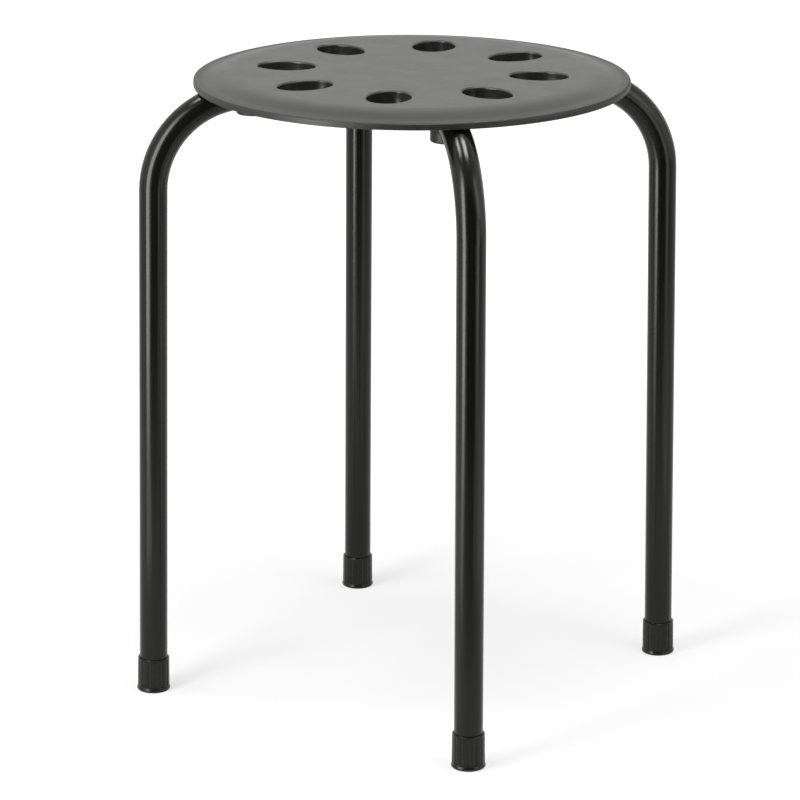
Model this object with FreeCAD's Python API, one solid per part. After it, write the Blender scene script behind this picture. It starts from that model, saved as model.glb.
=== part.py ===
import FreeCAD, Part
import math
import os

from FreeCAD import Vector

# Stacking stool: a round moulded seat on two bent steel tubes that cross under it.
# Millimetres. The origin is on the floor under the middle of the seat, and +Z is up.
# The front leg points to -Y, the right leg to +X.

# Overall
seat_height = 450.0
foot_circle_radius = 190.7      # middle of a foot to the stool's axis, on the floor
leg_splay = 0.86                # lean of each leg, in degrees

# Tubes
tube_diameter = 20.0
tube_wall = 1.2
bend_radius = 66.5              # at the middle of the tube
pressed_height = 7.0            # each tube where it is pressed flat for the crossing
press_blend = 17.0              # length over which the round tube becomes flat
press_margin = 0.6              # flat left free on each side of the other tube

# Seat moulding
seat_diameter = 308.0
skin = 2.5
plateau_radius = 124.0          # level middle of the seat
brim_width = 4.0                # level band inside the edge
brim_drop = 4.3                 # seat top to brim
convex_share = 0.6              # share of the shoulder that curves outwards
edge_round = 1.6
lip_reach = 9.0                 # seat top to the lower edge of the lip
lip_wall = 2.4
lip_round = 0.7

# Finger holes
finger_holes = 8
finger_ring_radius = 90.2
finger_length = 41.6            # along the seat's radius
finger_width = 30.8
finger_end_radius = 12.5
finger_round = 1.5              # rounding of the upper edge
collar_wall = 2.0
collar_reach = 14.0             # seat top to the collar's lower edge

# Ribs under the seat
rib_wall = 1.8
rib_reach = 12.0                # seat top to the ribs' lower edges
gusset_reach = 7.2              # the same between the rim ring and the lip
rail_reach = 9.5                # seat top to the rails beside the tubes
rail_gap = 0.8                  # tube side to rail
hub_ring_radius = 42.0
rim_ring_radius = 127.0

# Stacking pads and what fixes them
pad_diameter = 24.2
pad_thickness = 3.2             # below the tube
pad_setback = 5.2               # middle of the pad to the start of the bend
pad_round = 1.2
pad_rise = 1.2                  # pad's upper edge above the middle of the tube
pad_gap = 0.4                   # pad to the seat's saddle
saddle_clearance = 0.1
post_diameter = 9.0
post_clearance = 0.3
post_end_gap = 1.0              # post to the lower wall of the tube

# Seat screws
screw_diameter = 4.0
screw_grip = 11.0               # length of the screw inside the post
screw_head_diameter = 8.0
screw_head_height = 1.8
screw_head_rim = 0.5            # straight edge of the head
screw_head_recess = 0.4         # head below the pad's face
screw_cross_length = 4.4
screw_cross_width = 1.0
screw_cross_depth = 1.0
screw_fit = 0.05                # thread to formed hole
screw_pass = 0.3                # shank to pad and tube
screw_tip = 1.6                 # length of the tapered end
screw_tip_diameter = 1.2

# Crossing bolt
bolt_diameter = 5.0
bolt_pass = 0.3
bolt_fit = 0.05                 # thread to nut
bolt_head_diameter = 11.0
bolt_head_height = 2.1
bolt_head_rim = 0.5
bolt_end = 1.2                  # bolt past the nut
bolt_chamfer = 0.5
washer_diameter = 10.0
washer_thickness = 1.0
nut_across_flats = 8.0
nut_height = 4.0
nut_collar_height = 1.1
nut_collar_diameter = 7.2

# Foot caps
cap_height = 25.0
cap_top_diameter = 22.6
cap_bottom_diameter = 22.9
cap_flange_diameter = 24.0
cap_flange_level = 1.8          # top of the flange's upright edge, above the floor
cap_flange_top = 3.9            # where the flange has run out into the body
cap_sole_round = 1.3
cap_floor = 4.0                 # under the end of the tube
cap_clearance = 0.1
cap_collar = 1.4                # plain band above the flutes
cap_top_round = 0.5
cap_flutes = 14
flute_radius = 2.3
flute_depth = 0.5

# Sizes that follow
seat_radius = seat_diameter / 2
tube_radius = tube_diameter / 2
bore_radius = tube_radius - tube_wall
tube_level = seat_height - skin - tube_radius
lean = math.radians(leg_splay)
turn = math.pi / 2 - lean
knee_radius = foot_circle_radius - tube_level * math.tan(lean)
bend_start = knee_radius - bend_radius * math.tan(turn / 2)
pressed_flat = math.pi * (tube_radius - pressed_height / 2) / 2
press_start = pressed_flat + pressed_height / 2 + press_margin
press_end = press_start + press_blend
pad_place = bend_start - pad_setback
pad_floor = tube_level - tube_radius - pad_thickness
pad_top = tube_level + pad_rise
post_end = tube_level - bore_radius + post_end_gap
screw_seat = pad_floor + screw_head_recess + screw_head_height
lip_bottom = seat_height - lip_reach
rib_root = (skin + finger_round) / 2        # seat top to where ribs end inside the skin

# Side of the stool that each leg, cap, pad and screw stands on, as a turn from +X in degrees
sides = {"front": -90, "right": 0, "back": 90, "left": 180}
diagonals = [45, 135, 225, 315]

up = Vector(0, 0, 1)
out = Vector(1, 0, 0)
origin = Vector(0, 0, 0)
pivot = Vector(bend_start, 0, tube_level - bend_radius)
foot_point = Vector(foot_circle_radius, 0, 0)
down_leg = Vector(math.sin(lean), 0, -math.cos(lean))


# A copy of a shape, turned about the stool's axis
def turned(shape, angle):
    copy = shape.copy()
    copy.rotate(origin, up, angle)
    return copy


# The same shape at every angle of a list
def turned_all(shape, angles):
    return [turned(shape, angle) for angle in angles]


# An upright cylinder between two heights
def upright(radius, low, high, x=0.0):
    return Part.makeCylinder(radius, high - low, Vector(x, 0, low))


# A solid of revolution from edges in the XZ plane, about the upright line at x = 0
def revolved(edges):
    face = Part.Face(Part.Wire(edges))
    return face.revolve(origin, up, 360)


# Straight edges through a row of points
def run_of(points):
    return [Part.makeLine(a, b) for a, b in zip(points, points[1:])]


# An arc in the XZ plane about a centre, between two angles in radians from +X
def arc_about(x, z, radius, start, end):
    points = []
    for angle in (start, (start + end) / 2, end):
        points.append(Vector(x + radius * math.cos(angle), 0, z + radius * math.sin(angle)))
    return Part.Arc(*points).toShape()


# The only solid of a boolean's result
def single(shape):
    return shape.removeSplitter().Solids[0]


# Tube section

# The ring of the tube's wall, square to a direction
def tube_ring(centre, direction):
    outer = Part.Face(Part.Wire(Part.makeCircle(tube_radius, centre, direction)))
    inner = Part.Face(Part.Wire(Part.makeCircle(bore_radius, centre, direction)))
    return outer.cut(inner).Faces[0]


# A line, or an arc where the middle point stands off the line
def line_or_arc(start, middle, end):
    if middle.distanceToLine(start, end - start) < 1e-6:
        return Part.makeLine(start, end)
    return Part.Arc(start, middle, end).toShape()


# Outline of the tube at x along its frame: a circle where pressed is 0, and where it is 1
# a flat oval that stands wholly above (side 1) or below (side -1) the middle of the tube
def pressed_outline(x, pressed, inset, side):
    circle = tube_radius - inset
    diagonal = circle / math.sqrt(2)
    end_radius = pressed_height / 2 - inset
    middle = side * pressed * pressed_height / 2

    def between(round_value, flat_value):
        return round_value + (flat_value - round_value) * pressed

    corner_y = between(diagonal, pressed_flat)
    corner_z = between(diagonal, end_radius)
    peak = between(circle, end_radius)
    flank = between(circle, pressed_flat + end_radius)

    def place(y, z):
        return Vector(x, y, tube_level + middle + z)

    corners = [place(-corner_y, corner_z), place(corner_y, corner_z),
               place(corner_y, -corner_z), place(-corner_y, -corner_z)]
    mids = [place(0, peak), place(flank, 0), place(0, -peak), place(-flank, 0)]
    closed = corners + corners[:1]
    edges = [line_or_arc(closed[i], mids[i], closed[i + 1]) for i in range(4)]
    return Part.Wire(edges)


# Hollow length of pressed tube through outlines at the places and pressings given
def pressed_length(stations, side):
    outer = Part.makeLoft([pressed_outline(x, p, 0, side) for x, p in stations], True)
    inner = Part.makeLoft([pressed_outline(x, p, tube_wall, side) for x, p in stations], True)
    return outer.cut(inner)


# Tube frames

# Half of the crossing, from the stool's axis out to the round tube
def crossing_half(side):
    flat = pressed_length([(0, 1), (press_start, 1)], side)
    stations = []
    for share in (0, 0.25, 0.5, 0.75, 1):
        pressed = 1 - share * share * (3 - 2 * share)
        stations.append((press_start + share * press_blend, pressed))
    return [flat, pressed_length(stations, side)]


# Level run, bend and leg along +X
def arm():
    run_start = Vector(press_end, 0, tube_level)
    bend_point = Vector(bend_start, 0, tube_level)
    knee = pivot + Vector(math.sin(turn), 0, math.cos(turn)) * bend_radius
    leg_length = knee.distanceToPoint(foot_point) - cap_floor
    run = tube_ring(run_start, out).extrude(bend_point - run_start)
    bend = tube_ring(bend_point, out).revolve(pivot, Vector(0, 1, 0), math.degrees(turn))
    leg = tube_ring(knee, down_leg).extrude(down_leg * leg_length)
    return [run, bend, leg]


# A whole frame along X, pressed up (side 1) or down (side -1) at the crossing, with the
# holes for the crossing bolt, the seat's posts (upper wall) and the screws (lower wall)
def leg_frame(side):
    both_ways = (0, 180)
    halves = turned_all(Part.makeCompound(crossing_half(side) + arm()), both_ways)
    solids = [solid for half in halves for solid in half.Solids]
    frame = solids[0].fuse(solids[1:])
    low = tube_level - tube_radius
    high = tube_level + tube_radius
    bolt_hole = upright(bolt_diameter / 2 + bolt_pass, low, high)
    post_hole = upright(post_diameter / 2 + post_clearance, tube_level, high, pad_place)
    screw_hole = upright(screw_diameter / 2 + screw_pass, low, tube_level, pad_place)
    holes = turned_all(post_hole, both_ways) + turned_all(screw_hole, both_ways)
    return single(frame.cut([bolt_hole] + holes))


# Room for a tube along +X with clearance all round, its middle at a level
def tube_room(level):
    radius = tube_radius + saddle_clearance
    start = Vector(0, 0, level)
    bend_point = Vector(bend_start, 0, level)
    circle = Part.Face(Part.Wire(Part.makeCircle(radius, bend_point, out)))
    bend_centre = Vector(bend_start, 0, level - bend_radius)
    bend = circle.revolve(bend_centre, Vector(0, 1, 0), math.degrees(turn))
    run = Part.makeCylinder(radius, bend_start, start, out)
    return run.fuse(bend)


# Seat

# Everything under the seat's top surface lowered by drop, out to a radius, down to a height
def dome(drop, radius, bottom):
    top = seat_height - drop
    brim_start = seat_radius - brim_width
    width = brim_start - plateau_radius
    tilt = 2 * math.atan(brim_drop / width)
    convex = width / math.sin(tilt) * convex_share
    concave = width / math.sin(tilt) - convex
    quarter = math.pi / 2
    outer = arc_about(plateau_radius, top - convex, convex, quarter, quarter - tilt)
    inner = arc_about(brim_start, top - brim_drop + concave, concave, -quarter - tilt, -quarter)
    plateau = run_of([Vector(0, 0, top), Vector(plateau_radius, 0, top)])
    edge = [Vector(brim_start, 0, top - brim_drop), Vector(radius, 0, top - brim_drop),
            Vector(radius, 0, bottom), Vector(0, 0, bottom), Vector(0, 0, top)]
    return revolved(plateau + [outer, inner] + run_of(edge))


# Circular edges of a shape with a given radius and height
def rims(shape, radius, height):
    found = []
    for edge in shape.Edges:
        round_edge = hasattr(edge.Curve, "Radius") and abs(edge.Curve.Radius - radius) < 1e-4
        if round_edge and abs(edge.Curve.Center.z - height) < 1e-4:
            found.append(edge)
    return found


# An oval prism on the ring of finger holes, at +X, its outline grown all round. The oval
# has a small arc at each end and a large one along each side, tangent to each other
def finger_oval(growth, low, high):
    half_length = finger_length / 2
    half_width = finger_width / 2
    end_centre = half_length - finger_end_radius
    side_radius = (half_width ** 2 + end_centre ** 2 - finger_end_radius ** 2)
    side_radius = side_radius / (2 * (half_width - finger_end_radius))
    lean_in = math.atan2(side_radius - half_width, end_centre)
    joint_x = end_centre + (finger_end_radius + growth) * math.cos(lean_in)
    joint_y = (finger_end_radius + growth) * math.sin(lean_in)

    def place(x, y):
        return Vector(finger_ring_radius + x, y, low)

    joints = [place(joint_x, -joint_y), place(joint_x, joint_y),
              place(-joint_x, joint_y), place(-joint_x, -joint_y)]
    mids = [place(half_length + growth, 0), place(0, half_width + growth),
            place(-half_length - growth, 0), place(0, -half_width - growth)]
    closed = joints + joints[:1]
    arcs = [Part.Arc(closed[i], mids[i], closed[i + 1]).toShape() for i in range(4)]
    return Part.Face(Part.Wire(arcs)).extrude(Vector(0, 0, high - low))


# Angles of the finger holes, midway between the legs and spread evenly
def finger_angles():
    step = 360 / finger_holes
    return [step * (i + 0.5) for i in range(finger_holes)]


# Everything that the finger holes take away
def finger_cuts():
    below = seat_height - collar_reach - lip_reach
    return turned_all(finger_oval(0, below, seat_height + lip_reach), finger_angles())


# The moulded top with its rounded edge, the lip around it and the rounded finger holes
def seat_shell():
    body = dome(0, seat_radius, lip_bottom)
    body = body.makeFillet(edge_round, rims(body, seat_radius, seat_height - brim_drop))
    body = body.makeFillet(lip_round, rims(body, seat_radius, lip_bottom))
    hollow = dome(skin, seat_radius - lip_wall, lip_bottom - lip_reach)
    body = single(body.cut([hollow] + finger_cuts()))
    ovals = []
    for edge in body.Edges:
        level = all(abs(vertex.Z - seat_height) < 1e-4 for vertex in edge.Vertexes)
        if level and edge.Curve.Radius < plateau_radius:
            ovals.append(edge)
    return body.makeFillet(finger_round, ovals)


# A straight upright rib along +X from one radius to another, y to its middle
def rib(start, end, reach, y=0.0):
    corner = Vector(start, y - rib_wall / 2, seat_height - reach)
    return Part.makeBox(end - start, rib_wall, reach, corner)


# A round rib about the stool's axis
def ring_rib(radius):
    low = seat_height - rib_reach
    outer = upright(radius + rib_wall / 2, low, seat_height)
    return outer.cut(upright(radius - rib_wall / 2, low, seat_height))


# All ribs, collars and saddles, with room for the tubes
def seat_ribs():
    lip_middle = seat_radius - lip_wall / 2
    collar_inner = finger_ring_radius - finger_length / 2 - collar_wall / 2
    collar_outer = finger_ring_radius + finger_length / 2 + collar_wall / 2
    rail_y = tube_radius + rail_gap + rib_wall / 2
    collar = finger_oval(collar_wall, seat_height - collar_reach, seat_height)
    saddle = upright(pad_diameter / 2, pad_top + pad_gap, seat_height, pad_place)
    ribs = [ring_rib(hub_ring_radius), ring_rib(rim_ring_radius)]
    ribs += turned_all(collar, finger_angles())
    ribs += turned_all(rib(hub_ring_radius, collar_inner, rib_reach), finger_angles())
    ribs += turned_all(rib(collar_outer, rim_ring_radius, rib_reach), finger_angles())
    ribs += turned_all(rib(hub_ring_radius, rim_ring_radius, rib_reach), diagonals)
    ribs += turned_all(rib(rim_ring_radius, lip_middle, gusset_reach),
                       finger_angles() + diagonals)
    for angle in sides.values():
        ribs += turned_all(rib(hub_ring_radius, rim_ring_radius, rail_reach, rail_y), [angle])
        ribs += turned_all(rib(hub_ring_radius, rim_ring_radius, rail_reach, -rail_y), [angle])
        ribs += turned_all(saddle, [angle])
    joined = ribs[0].fuse(ribs[1:])
    joined = joined.cut(turned_all(tube_room(tube_level), sides.values()) + finger_cuts())
    within = dome(rib_root, lip_middle, seat_height - collar_reach - lip_reach)
    return joined.common(within)


# The whole seat: shell, ribs, and posts that reach into the tubes and hold the screws
def seat():
    post = upright(post_diameter / 2, post_end, seat_height - rib_root, pad_place)
    pilot_top = post_end + screw_grip + screw_tip
    pilot = upright(screw_diameter / 2 + screw_fit, post_end, pilot_top, pad_place)
    posts = turned_all(post.cut(pilot), sides.values())
    return single(seat_shell().fuse([seat_ribs()] + posts))


# Stacking pads

# A pad at +X: a round block hollowed for the tube, with a recess for the screw's head
def stack_pad():
    block = upright(pad_diameter / 2, pad_floor, pad_top, pad_place)
    block = block.makeFillet(pad_round, rims(block, pad_diameter / 2, pad_floor))
    recess_radius = screw_head_diameter / 2 + screw_pass
    recess = upright(recess_radius, pad_floor, screw_seat, pad_place)
    hole = upright(screw_diameter / 2 + screw_pass, pad_floor, tube_level, pad_place)
    return single(block.cut([recess, hole, tube_room(tube_level + saddle_clearance)]))


# Fasteners

# The crown of a round head, from its middle at a level out to its rim, rising up (1) or
# down (-1)
def crown(radius, rise, level, way):
    sphere = (radius ** 2 + rise ** 2) / (2 * rise)
    spread = math.asin(radius / sphere)
    quarter = way * math.pi / 2
    return arc_about(0, level - way * sphere, sphere, quarter, quarter - way * spread)


# A seat screw at +X: low round head with a cross recess, shank and pointed end
def seat_screw():
    shank = screw_diameter / 2
    head = screw_head_diameter / 2
    face = screw_seat - screw_head_height
    rim = screw_seat - screw_head_rim
    tip = post_end + screw_grip
    outline = [Vector(head, 0, rim), Vector(head, 0, screw_seat), Vector(shank, 0, screw_seat),
               Vector(shank, 0, tip), Vector(screw_tip_diameter / 2, 0, tip + screw_tip),
               Vector(0, 0, tip + screw_tip), Vector(0, 0, face)]
    body = revolved([crown(head, rim - face, face, -1)] + run_of(outline))
    corner = Vector(-screw_cross_length / 2, -screw_cross_width / 2, face)
    slot = Part.makeBox(screw_cross_length, screw_cross_width, screw_cross_depth, corner)
    body = body.cut([slot, turned(slot, 90)])
    body.translate(Vector(pad_place, 0, 0))
    return single(body)


# The crossing bolt: its head lies on the upper tube, under the seat's skin
def crossing_bolt():
    head = bolt_head_diameter / 2
    shank = bolt_diameter / 2
    under = tube_level + pressed_height
    rim = under + bolt_head_rim
    top = under + bolt_head_height
    end = tube_level - pressed_height - washer_thickness - nut_height - bolt_end
    outline = [Vector(head, 0, rim), Vector(head, 0, under), Vector(shank, 0, under),
               Vector(shank, 0, end + bolt_chamfer), Vector(shank - bolt_chamfer, 0, end),
               Vector(0, 0, end), Vector(0, 0, top)]
    return revolved([crown(head, top - rim, top, 1)] + run_of(outline))


# Flat washer under the lower tube
def crossing_washer():
    high = tube_level - pressed_height
    low = high - washer_thickness
    disc = upright(washer_diameter / 2, low, high)
    return disc.cut(upright(bolt_diameter / 2 + bolt_pass, low, high))


# Six-sided lock nut with its round collar, under the washer
def crossing_nut():
    high = tube_level - pressed_height - washer_thickness
    low = high - nut_height
    corner = nut_across_flats / math.sqrt(3)
    points = []
    for i in range(7):
        angle = math.radians(60 * i)
        points.append(Vector(corner * math.cos(angle), corner * math.sin(angle), 0))
    hexagon = Part.Face(Part.Wire(run_of(points)))
    prism = hexagon.extrude(Vector(0, 0, nut_height - nut_collar_height))
    prism.translate(Vector(0, 0, low + nut_collar_height))
    collar = upright(nut_collar_diameter / 2, low, high)
    hole = upright(bolt_diameter / 2 + bolt_fit, low, high)
    return single(prism.fuse(collar).cut(hole))


# Foot caps

# A cap at +X on the end of the leg: flanged sole, fluted body and plain collar. It leans
# with the leg, and its sole is level with the floor
def foot_cap():
    flange = cap_flange_diameter / 2
    low = cap_bottom_diameter / 2
    top = cap_top_diameter / 2
    bore = tube_radius + cap_clearance
    below = -cap_flange_level
    step = flange - low
    rise = cap_flange_top - cap_flange_level
    flare = (step ** 2 + rise ** 2) / (2 * step)
    sweep = math.asin(rise / flare)
    corner = arc_about(flange - cap_sole_round, cap_sole_round, cap_sole_round, -math.pi / 2, 0)
    edge = run_of([Vector(flange, 0, cap_sole_round), Vector(flange, 0, cap_flange_level)])
    hollow = arc_about(low + flare, cap_flange_top, flare, math.pi + sweep, math.pi)
    wall = [Vector(low, 0, cap_flange_top), Vector(top, 0, cap_height - cap_top_round),
            Vector(top - cap_top_round, 0, cap_height), Vector(bore, 0, cap_height),
            Vector(bore, 0, cap_floor), Vector(0, 0, cap_floor), Vector(0, 0, below),
            Vector(flange - cap_sole_round, 0, below), Vector(flange - cap_sole_round, 0, 0)]
    body = revolved([corner] + edge + [hollow] + run_of(wall))
    flute_length = cap_height - cap_collar - cap_flange_top
    flute = Part.makeCylinder(flute_radius, flute_length,
                              Vector(low + flute_radius - flute_depth, 0, cap_flange_top))
    angles = [360 / cap_flutes * (i + 0.5) for i in range(cap_flutes)]
    body = body.cut(turned_all(flute, angles))
    body.rotate(origin, Vector(0, 1, 0), -leg_splay)
    body.translate(foot_point)
    ground = Part.makeBox(cap_height * 2, cap_height * 2, cap_height,
                          foot_point - Vector(cap_height, cap_height, cap_height))
    return single(body.cut(ground))


# The stool

def build():
    os.makedirs("parts", exist_ok=True)
    nodes = {
        "seat": seat(),
        "leg_frame_left_right": leg_frame(1),
        "leg_frame_front_back": turned(leg_frame(-1), 90),
        "crossing_bolt": crossing_bolt(),
        "crossing_washer": crossing_washer(),
        "crossing_nut": crossing_nut(),
    }
    for side, angle in sides.items():
        nodes["foot_cap_" + side] = turned(foot_cap(), angle)
        nodes["stack_pad_" + side] = turned(stack_pad(), angle)
        nodes["seat_screw_" + side] = turned(seat_screw(), angle)
    for name, shape in nodes.items():
        shape.exportStep("parts/" + name + ".step")
        print(name, "volume", round(shape.Volume), "valid", shape.isValid())


build()
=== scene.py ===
import math

import bpy
from mathutils import Matrix, Vector

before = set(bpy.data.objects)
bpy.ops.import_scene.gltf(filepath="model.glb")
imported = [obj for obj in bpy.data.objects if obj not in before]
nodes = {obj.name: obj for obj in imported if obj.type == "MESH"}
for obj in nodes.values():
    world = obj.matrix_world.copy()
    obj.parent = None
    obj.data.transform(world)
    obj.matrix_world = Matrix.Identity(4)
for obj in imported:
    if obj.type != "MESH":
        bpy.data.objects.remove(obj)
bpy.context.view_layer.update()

# The looks of the stacking stool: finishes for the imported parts, studio and camera.
# Metres, floor at z = 0, the front leg on the -Y side.

sideNames = ("front", "right", "back", "left")
print("frame loaded,", len(nodes), "nodes")


# Node helpers

def startMaterial(name):
    material = bpy.data.materials.new(name)
    material.use_nodes = True
    tree = material.node_tree
    tree.nodes.clear()
    output = tree.nodes.new("ShaderNodeOutputMaterial")
    shader = tree.nodes.new("ShaderNodeBsdfPrincipled")
    tree.links.new(shader.outputs["BSDF"], output.inputs["Surface"])
    return material, tree, shader


def addNode(tree, kind, inputs=None, **settings):
    node = tree.nodes.new(kind)
    for key, value in settings.items():
        setattr(node, key, value)
    for key, value in (inputs or {}).items():
        if isinstance(value, bpy.types.NodeSocket):
            tree.links.new(value, node.inputs[key])
        else:
            node.inputs[key].default_value = value
    return node


def objectPlace(tree):
    return addNode(tree, "ShaderNodeTexCoord").outputs["Object"]


# Noise between about 0 and 1, with lumps of a given size in metres
def noiseOf(tree, place, size, detail, roughness=0.5):
    noise = addNode(tree, "ShaderNodeTexNoise",
                    {"Vector": place, "Scale": 1 / size, "Detail": detail, "Roughness": roughness})
    return noise.outputs["Fac"]


# A value carried from one range to another, and held at its ends
def remap(tree, value, fromLow, fromHigh, toLow, toHigh):
    node = addNode(tree, "ShaderNodeMapRange",
                   {"Value": value, "From Min": fromLow, "From Max": fromHigh,
                    "To Min": toLow, "To Max": toHigh})
    return node.outputs["Result"]


# Noise keeps near its middle, so that middle is spread over the whole range
noiseMiddle = (0.3, 0.7)


def spread(tree, noise, low, high):
    return remap(tree, noise, *noiseMiddle, low, high)


def calculate(tree, operation, first, second):
    return addNode(tree, "ShaderNodeMath", {0: first, 1: second}, operation=operation).outputs[0]


def lengthOf(tree, vector):
    return addNode(tree, "ShaderNodeVectorMath", {0: vector}, operation="LENGTH").outputs["Value"]


# How far a vector reaches along a fixed direction
def reachAlong(tree, vector, direction):
    node = addNode(tree, "ShaderNodeVectorMath", {0: vector, 1: tuple(direction)},
                   operation="DOT_PRODUCT")
    return node.outputs["Value"]


def upwardPart(tree, vector):
    return addNode(tree, "ShaderNodeSeparateXYZ", {0: vector}).outputs["Z"]


# A blend of two colours by a factor
def blendColours(tree, factor, first, second):
    node = addNode(tree, "ShaderNodeMix", {0: factor, 6: (*first, 1.0), 7: (*second, 1.0)},
                   data_type="RGBA")
    return node.outputs[2]


# Bumps of a height in metres, on top of an earlier bump
def bumpOf(tree, height, distance, under=None):
    inputs = {"Height": height, "Distance": distance}
    if under is not None:
        inputs["Normal"] = under
    return addNode(tree, "ShaderNodeBump", inputs).outputs["Normal"]


def dress(nodeName, material):
    materials = nodes[nodeName].data.materials
    materials.clear()
    materials.append(material)


# All the black pieces mirror a little more warmly than the lamps shine
warmTint = (1.0, 1.0, 0.962, 1.0)


# Seat: black moulded plastic with a fine matt grain on top, duller still on the outer lip,
# smoother in the holes and below. The gate is the round mark that moulding leaves mid-seat

seatFinish = {
    "colour": (0.012, 0.012, 0.0113),
    "colourWorn": (0.017, 0.017, 0.0161),
    "grainSize": 0.00055,
    "grainDetail": 3.0,
    "grainHeight": 0.00007,
    "grainBelow": 0.25,
    "cloudSize": 0.022,
    "cloudDetail": 4.0,
    "noiseRoughness": 0.6,
    "topStart": 0.2,
    "topEnd": 0.6,
    "roughTop": 0.38,
    "roughBelow": 0.26,
    "roughLip": 0.42,
    "roughUneven": 0.03,
    "specular": 0.485,
    "specularBelow": 0.27,
    "specularLip": 0.28,
    "lipStart": 0.130,
    "lipEnd": 0.149,
    "gateRadius": 0.0042,
    "gateEdge": 0.0006,
    "gateDepth": 0.00012,
    "ior": 1.54,
}


def makeSeatPlastic(finish):
    material, tree, shader = startMaterial("seatPlastic")
    place = objectPlace(tree)
    normal = addNode(tree, "ShaderNodeNewGeometry").outputs["Normal"]
    onTop = remap(tree, upwardPart(tree, normal), finish["topStart"], finish["topEnd"], 0.0, 1.0)
    flat = addNode(tree, "ShaderNodeVectorMath", {0: place, 1: (1.0, 1.0, 0.0)},
                   operation="MULTIPLY").outputs["Vector"]
    fromAxis = lengthOf(tree, flat)
    clouds = noiseOf(tree, place, finish["cloudSize"], finish["cloudDetail"],
                     finish["noiseRoughness"])
    grain = noiseOf(tree, place, finish["grainSize"], finish["grainDetail"],
                    finish["noiseRoughness"])
    tree.links.new(blendColours(tree, spread(tree, clouds, 0.0, 1.0),
                                finish["colour"], finish["colourWorn"]),
                   shader.inputs["Base Color"])
    rough = remap(tree, onTop, 0.0, 1.0, finish["roughBelow"], finish["roughTop"])
    lip = remap(tree, fromAxis, finish["lipStart"], finish["lipEnd"], 0.0, finish["roughLip"])
    uneven = spread(tree, clouds, -finish["roughUneven"], finish["roughUneven"])
    tree.links.new(calculate(tree, "ADD", calculate(tree, "MAXIMUM", rough, lip), uneven),
                   shader.inputs["Roughness"])
    shine = remap(tree, onTop, 0.0, 1.0, finish["specularBelow"], finish["specular"])
    lipShine = remap(tree, fromAxis, finish["lipStart"], finish["lipEnd"],
                     finish["specular"], finish["specularLip"])
    tree.links.new(calculate(tree, "MINIMUM", shine, lipShine),
                   shader.inputs["Specular IOR Level"])
    gate = remap(tree, fromAxis, finish["gateRadius"],
                 finish["gateRadius"] + finish["gateEdge"], 0.0, 1.0)
    gateBump = bumpOf(tree, gate, finish["gateDepth"])
    grainLeft = remap(tree, onTop, 0.0, 1.0, finish["grainBelow"], 1.0)
    grainHeight = calculate(tree, "MULTIPLY", grain, grainLeft)
    tree.links.new(bumpOf(tree, grainHeight, finish["grainHeight"], gateBump),
                   shader.inputs["Normal"])
    shader.inputs["IOR"].default_value = finish["ior"]
    shader.inputs["Specular Tint"].default_value = warmTint
    return material


dress("seat", makeSeatPlastic(seatFinish))
print("seat dressed")


# Leg frames: black powder coat, glossy, with its slight orange peel

frameFinish = {
    "colour": (0.0034, 0.0034, 0.0031),
    "colourDeep": (0.0026, 0.0026, 0.0024),
    "specular": 0.28,
    "rough": 0.19,
    "roughUneven": 0.02,
    "peelSize": 0.0022,
    "peelDetail": 1.0,
    "peelHeight": 0.000010,
    "speckSize": 0.0004,
    "speckDetail": 2.0,
    "speckHeight": 0.000002,
    "cloudSize": 0.02,
    "cloudDetail": 3.0,
    "ior": 1.5,
}


def makeFramePaint(finish):
    material, tree, shader = startMaterial("framePaint")
    place = objectPlace(tree)
    clouds = noiseOf(tree, place, finish["cloudSize"], finish["cloudDetail"])
    peel = noiseOf(tree, place, finish["peelSize"], finish["peelDetail"])
    speck = noiseOf(tree, place, finish["speckSize"], finish["speckDetail"])
    tree.links.new(blendColours(tree, clouds, finish["colour"], finish["colourDeep"]),
                   shader.inputs["Base Color"])
    tree.links.new(spread(tree, clouds, finish["rough"] - finish["roughUneven"],
                          finish["rough"] + finish["roughUneven"]),
                   shader.inputs["Roughness"])
    peelBump = bumpOf(tree, peel, finish["peelHeight"])
    tree.links.new(bumpOf(tree, speck, finish["speckHeight"], peelBump),
                   shader.inputs["Normal"])
    shader.inputs["IOR"].default_value = finish["ior"]
    shader.inputs["Specular Tint"].default_value = warmTint
    shader.inputs["Specular IOR Level"].default_value = finish["specular"]
    return material


framePaint = makeFramePaint(frameFinish)
for nodeName in ("leg_frame_left_right", "leg_frame_front_back"):
    dress(nodeName, framePaint)
print("leg frames dressed")


# Foot caps and stacking pads: softer black plastic, a little dusty in patches

capFinish = {
    "colour": (0.0040, 0.0040, 0.0037),
    "colourDusty": (0.0055, 0.0055, 0.0051),
    "specular": 0.26,
    "rough": 0.27,
    "roughUneven": 0.03,
    "grainSize": 0.0005,
    "grainDetail": 2.0,
    "grainHeight": 0.00002,
    "cloudSize": 0.006,
    "cloudDetail": 3.0,
    "ior": 1.5,
}

padFinish = {
    "colour": (0.0050, 0.0050, 0.0047),
    "colourDusty": (0.0075, 0.0075, 0.0071),
    "specular": 0.25,
    "rough": 0.38,
    "roughUneven": 0.03,
    "grainSize": 0.0004,
    "grainDetail": 2.0,
    "grainHeight": 0.00003,
    "cloudSize": 0.008,
    "cloudDetail": 3.0,
    "ior": 1.5,
}


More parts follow.
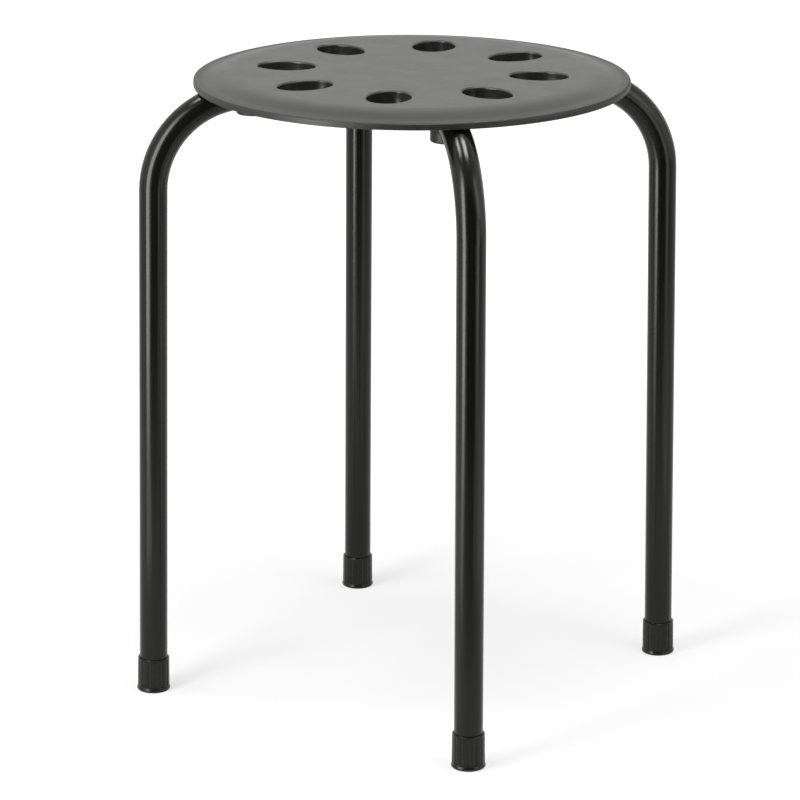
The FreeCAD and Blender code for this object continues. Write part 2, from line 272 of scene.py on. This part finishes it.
def makeSoftPlastic(name, finish):
    material, tree, shader = startMaterial(name)
    place = objectPlace(tree)
    clouds = noiseOf(tree, place, finish["cloudSize"], finish["cloudDetail"])
    grain = noiseOf(tree, place, finish["grainSize"], finish["grainDetail"])
    tree.links.new(blendColours(tree, spread(tree, clouds, 0.0, 1.0),
                                finish["colour"], finish["colourDusty"]),
                   shader.inputs["Base Color"])
    tree.links.new(spread(tree, clouds, finish["rough"] - finish["roughUneven"],
                          finish["rough"] + finish["roughUneven"]),
                   shader.inputs["Roughness"])
    tree.links.new(bumpOf(tree, grain, finish["grainHeight"]), shader.inputs["Normal"])
    shader.inputs["IOR"].default_value = finish["ior"]
    shader.inputs["Specular Tint"].default_value = warmTint
    shader.inputs["Specular IOR Level"].default_value = finish["specular"]
    return material


capPlastic = makeSoftPlastic("capPlastic", capFinish)
padPlastic = makeSoftPlastic("padPlastic", padFinish)
for side in sideNames:
    dress("foot_cap_" + side, capPlastic)
    dress("stack_pad_" + side, padPlastic)
print("caps and pads dressed")


# Fasteners: zinc plated steel

steelFinish = {
    "colour": (0.50, 0.50, 0.51),
    "colourDull": (0.38, 0.38, 0.39),
    "roughLow": 0.26,
    "roughHigh": 0.40,
    "scratchSize": 0.0005,
    "scratchDetail": 2.0,
    "scratchHeight": 0.000004,
    "cloudSize": 0.002,
    "cloudDetail": 3.0,
}


def makeZincSteel(finish):
    material, tree, shader = startMaterial("zincSteel")
    place = objectPlace(tree)
    clouds = noiseOf(tree, place, finish["cloudSize"], finish["cloudDetail"])
    scratches = noiseOf(tree, place, finish["scratchSize"], finish["scratchDetail"])
    tree.links.new(blendColours(tree, spread(tree, clouds, 0.0, 1.0),
                                finish["colour"], finish["colourDull"]),
                   shader.inputs["Base Color"])
    tree.links.new(spread(tree, clouds, finish["roughLow"], finish["roughHigh"]),
                   shader.inputs["Roughness"])
    tree.links.new(bumpOf(tree, scratches, finish["scratchHeight"]), shader.inputs["Normal"])
    shader.inputs["Metallic"].default_value = 1.0
    return material


zincSteel = makeZincSteel(steelFinish)
for nodeName in ("crossing_bolt", "crossing_washer", "crossing_nut"):
    dress(nodeName, zincSteel)
for side in sideNames:
    dress("seat_screw_" + side, zincSteel)
print("fasteners dressed")


# Studio. Its own axes are the camera's: X to the right, Y away from the camera.
# The place of the camera itself is in the stool's axes

camera = {
    "place": (-0.5473, -2.4835, 0.9746),
    "tilt": 16.782,
    "yaw": 12.256,
    "roll": 0.213,
    "lens": 165.3,
    "sensor": 36.0,
    "clipStart": 0.1,
    "clipEnd": 60.0,
}

# The camera sees the floor grow white with its distance from the stool. Mirrors see it fade
# towards the front, where the studio is dark, and they see the sky fade overhead
studio = {
    "floorSize": (8.0, 5.4),
    "floorMiddle": (0.0, 1.80),
    "floorColour": 0.32,
    "floorRough": 0.9,
    "glow": 0.62,
    "glowFar": 1.0,
    "farStart": 0.30,
    "farEnd": 1.10,
    "glowFront": 0.02,
    "frontStart": -0.30,
    "frontEnd": -0.62,
    "skyForLight": 0.40,
    "skySeen": 1.0,
    "skySeenHigh": 0.45,
    "fadeLean": 0.35,
    "fadeStart": 0.60,
    "fadeEnd": 1.0,
    "darkStart": 0.62,
    "darkEnd": 0.74,
    "darkFront": 0.10,
}

# The keys stand at the left front, the fills at the right. Those with a turn lie on the floor
lamps = {
    "key": {"place": (-0.735, -0.679, 0.52), "aim": (0.0, 0.0, 0.52), "width": 0.38,
            "height": 1.02, "radiance": 10.5},
    "keyTop": {"place": (-0.735, -0.679, 1.18), "aim": (0.0, 0.0, 1.18), "width": 0.40,
               "height": 0.28, "radiance": 5.0},
    "keyLow": {"place": (-0.621, -0.600, 0.01), "aim": (-0.621, -0.600, 0.5), "width": 0.27,
               "height": 0.28, "turn": 46.0, "radiance": 4.4},
    "keyNear": {"place": (-0.410, -0.396, 0.01), "aim": (-0.410, -0.396, 0.5), "width": 0.26,
                "height": 0.30, "turn": 46.0, "radiance": 1.6},
    "keyHaze": {"place": (-0.52, -0.90, 0.15), "aim": (0.0, 0.0, 0.15), "width": 0.12,
                "height": 0.30, "radiance": 1.6},
    "keySide": {"place": (-1.02, -0.42, 0.70), "aim": (0.0, 0.0, 0.70), "width": 0.40,
                "height": 1.40, "radiance": 0.45},
    "upperLeft": {"place": (-0.62, -0.13, 1.70), "aim": (-0.62, -0.13, 0.0), "width": 0.38,
                  "height": 0.48, "radiance": 16.0},
    "overhead": {"place": (0.23, -0.10, 1.70), "aim": (0.23, -0.10, 0.0), "width": 0.44,
                 "height": 0.52, "radiance": 18.5},
    "fill": {"place": (1.105, -0.645, 1.10), "aim": (0.0, 0.0, 1.10), "width": 0.50,
             "height": 1.06, "radiance": 2.2},
    "fillSide": {"place": (1.26, -0.22, 0.75), "aim": (0.0, 0.0, 0.75), "width": 0.50,
                 "height": 1.10, "radiance": 0.6},
    "fillLower": {"place": (0.865, -0.832, 0.27), "aim": (0.0, 0.0, 0.27), "width": 0.42,
                  "height": 0.50, "radiance": 2.0},
    "fillLow": {"place": (0.68, -0.53, 0.01), "aim": (0.68, -0.53, 0.5), "width": 0.56,
                "height": 0.70, "turn": -52.0, "radiance": 0.65},
}

yawTurn = Matrix.Rotation(-math.radians(camera["yaw"]), 4, "Z")
awayFromCamera = yawTurn.to_3x3() @ Vector((0.0, 1.0, 0.0))


# One for a ray off a mirror or through glass, zero for any other
def mirroredRay(tree, paths):
    return calculate(tree, "MAXIMUM", paths.outputs["Is Glossy Ray"],
                     paths.outputs["Is Transmission Ray"])


# Light that only the camera sees, and light that only mirrors and glass see
def glowSeen(tree, forCamera, forMirrors):
    paths = addNode(tree, "ShaderNodeLightPath")
    byCamera = calculate(tree, "MULTIPLY", paths.outputs["Is Camera Ray"], forCamera)
    byMirrors = calculate(tree, "MULTIPLY", mirroredRay(tree, paths), forMirrors)
    return calculate(tree, "MAXIMUM", byCamera, byMirrors)


def makeFloor():
    bpy.ops.object.select_all(action="DESELECT")
    bpy.ops.mesh.primitive_plane_add(size=1.0, location=(0.0, 0.0, 0.0))
    floor = bpy.context.object
    floor.name = "floor"
    width, depth = studio["floorSize"]
    x, y = studio["floorMiddle"]
    shape = Matrix.Translation(Vector((x, y, 0.0))) @ Matrix.Diagonal((width, depth, 1.0, 1.0))
    floor.data.transform(yawTurn @ shape)
    material, tree, shader = startMaterial("floorWhite")
    grey = studio["floorColour"]
    shader.inputs["Base Color"].default_value = (grey, grey, grey, 1.0)
    shader.inputs["Roughness"].default_value = studio["floorRough"]
    shader.inputs["Specular IOR Level"].default_value = 0.0
    shader.inputs["Emission Color"].default_value = (1.0, 1.0, 1.0, 1.0)
    place = objectPlace(tree)
    glowCamera = remap(tree, lengthOf(tree, place), studio["farStart"], studio["farEnd"],
                       studio["glow"], studio["glowFar"])
    away = reachAlong(tree, place, awayFromCamera)
    glowMirrors = remap(tree, away, studio["frontEnd"], studio["frontStart"],
                        studio["glowFront"], studio["glow"])
    tree.links.new(glowSeen(tree, glowCamera, glowMirrors), shader.inputs["Emission Strength"])
    floor.data.materials.append(material)


def makeSky():
    world = bpy.data.worlds.new("studioSky")
    bpy.context.scene.world = world
    world.use_nodes = True
    tree = world.node_tree
    tree.nodes.clear()
    output = tree.nodes.new("ShaderNodeOutputWorld")
    direction = addNode(tree, "ShaderNodeTexCoord").outputs["Generated"]
    towards = reachAlong(tree, direction, -awayFromCamera)
    lean = calculate(tree, "MULTIPLY", towards, studio["fadeLean"])
    overFront = calculate(tree, "ADD", upwardPart(tree, direction), lean)
    skySeen = remap(tree, overFront, studio["fadeStart"], studio["fadeEnd"],
                    studio["skySeen"], studio["skySeenHigh"])
    paths = addNode(tree, "ShaderNodeLightPath")
    openSky = remap(tree, mirroredRay(tree, paths), 0.0, 1.0, studio["skyForLight"], skySeen)
    front = remap(tree, towards, studio["darkStart"], studio["darkEnd"], 0.0, 1.0)
    shaded = addNode(tree, "ShaderNodeMix", {0: front, 2: openSky, 3: studio["darkFront"]},
                     data_type="FLOAT").outputs[0]
    strength = calculate(tree, "MAXIMUM", shaded, paths.outputs["Is Camera Ray"])
    background = addNode(tree, "ShaderNodeBackground",
                         {"Color": (1.0, 1.0, 1.0, 1.0), "Strength": strength})
    tree.links.new(background.outputs["Background"], output.inputs["Surface"])


def makeLamp(name, settings):
    light = bpy.data.lights.new(name, "AREA")
    light.shape = "RECTANGLE"
    light.size = settings["width"]
    light.size_y = settings["height"]
    light.energy = settings["radiance"] * math.pi * settings["width"] * settings["height"]
    lamp = bpy.data.objects.new(name, light)
    bpy.context.scene.collection.objects.link(lamp)
    place = yawTurn @ Vector(settings["place"])
    aim = yawTurn @ Vector(settings["aim"])
    lamp.location = place
    turned = (aim - place).to_track_quat("-Z", "Y").to_matrix()
    spin = Matrix.Rotation(math.radians(settings.get("turn", 0.0)), 3, "Z")
    lamp.rotation_euler = (turned @ spin).to_euler()
    lamp.visible_camera = False


def makeCamera():
    data = bpy.data.cameras.new("camera")
    data.lens = camera["lens"]
    data.sensor_width = camera["sensor"]
    data.clip_start = camera["clipStart"]
    data.clip_end = camera["clipEnd"]
    eye = bpy.data.objects.new("camera", data)
    bpy.context.scene.collection.objects.link(eye)
    tilt = Matrix.Rotation(math.radians(90.0 - camera["tilt"]), 4, "X")
    roll = Matrix.Rotation(math.radians(camera["roll"]), 4, "Z")
    eye.matrix_world = Matrix.Translation(Vector(camera["place"])) @ yawTurn @ tilt @ roll
    bpy.context.scene.camera = eye


makeFloor()
makeSky()
for lampName, lampSettings in lamps.items():
    makeLamp(lampName, lampSettings)
makeCamera()
bpy.context.scene.view_settings.view_transform = "Standard"
print("studio ready")
